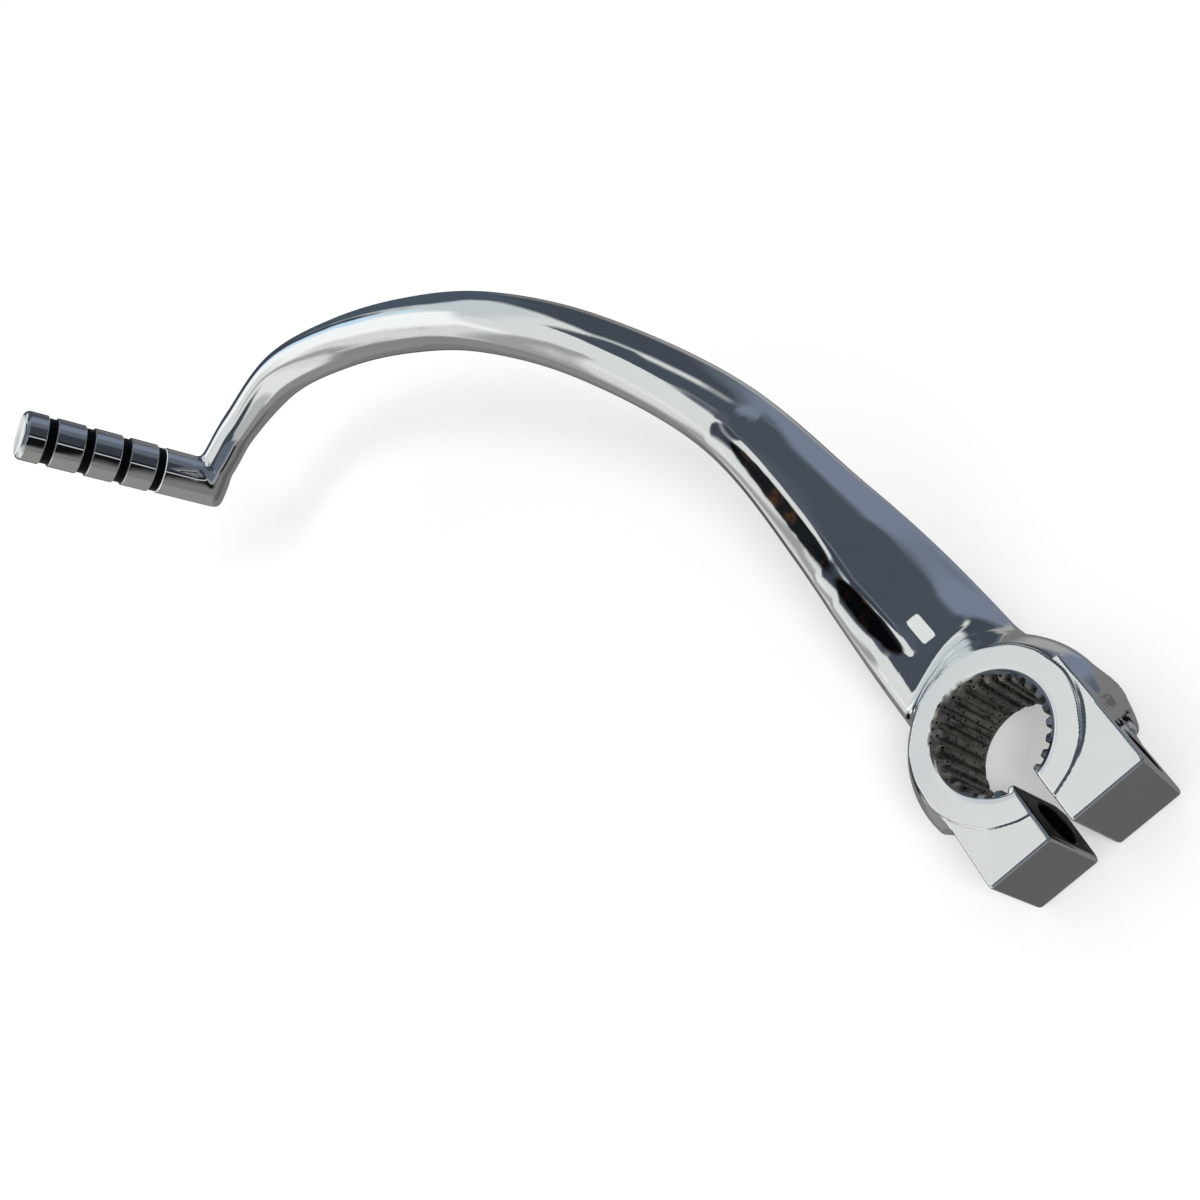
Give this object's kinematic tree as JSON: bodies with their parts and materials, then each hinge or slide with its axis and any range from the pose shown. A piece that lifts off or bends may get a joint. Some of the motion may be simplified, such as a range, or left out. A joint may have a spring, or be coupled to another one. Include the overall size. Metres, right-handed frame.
{
  "type": "gear shift lever",
  "caption": "Chromed foot gear lever: splined clamp hub, cranked swan-neck arm and a grooved toe peg.",
  "frame": {"origin": "on the splined bore's axis, at the middle of the hub's height", "axes": "+Z outboard along the gearbox shaft's axis, +X from the hub towards the toe peg, the arm arches towards -Y"},
  "size_m": [0.2062, 0.0598, 0.0759],
  "materials": {
    "hub_chrome": "polished chrome plate outside; the splined bore and the slit are bare, dark, pitted steel",
    "arm_chrome": "mirror-polished chrome plate, slightly uneven from hand polishing",
    "peg_chrome": "mirror-polished chrome plate with dark turned grip grooves"
  },
  "bodies": {
    "root": {"splined_hub": "hub_chrome", "arm": "arm_chrome", "toe_peg": "peg_chrome"}
  },
  "joints": []
}
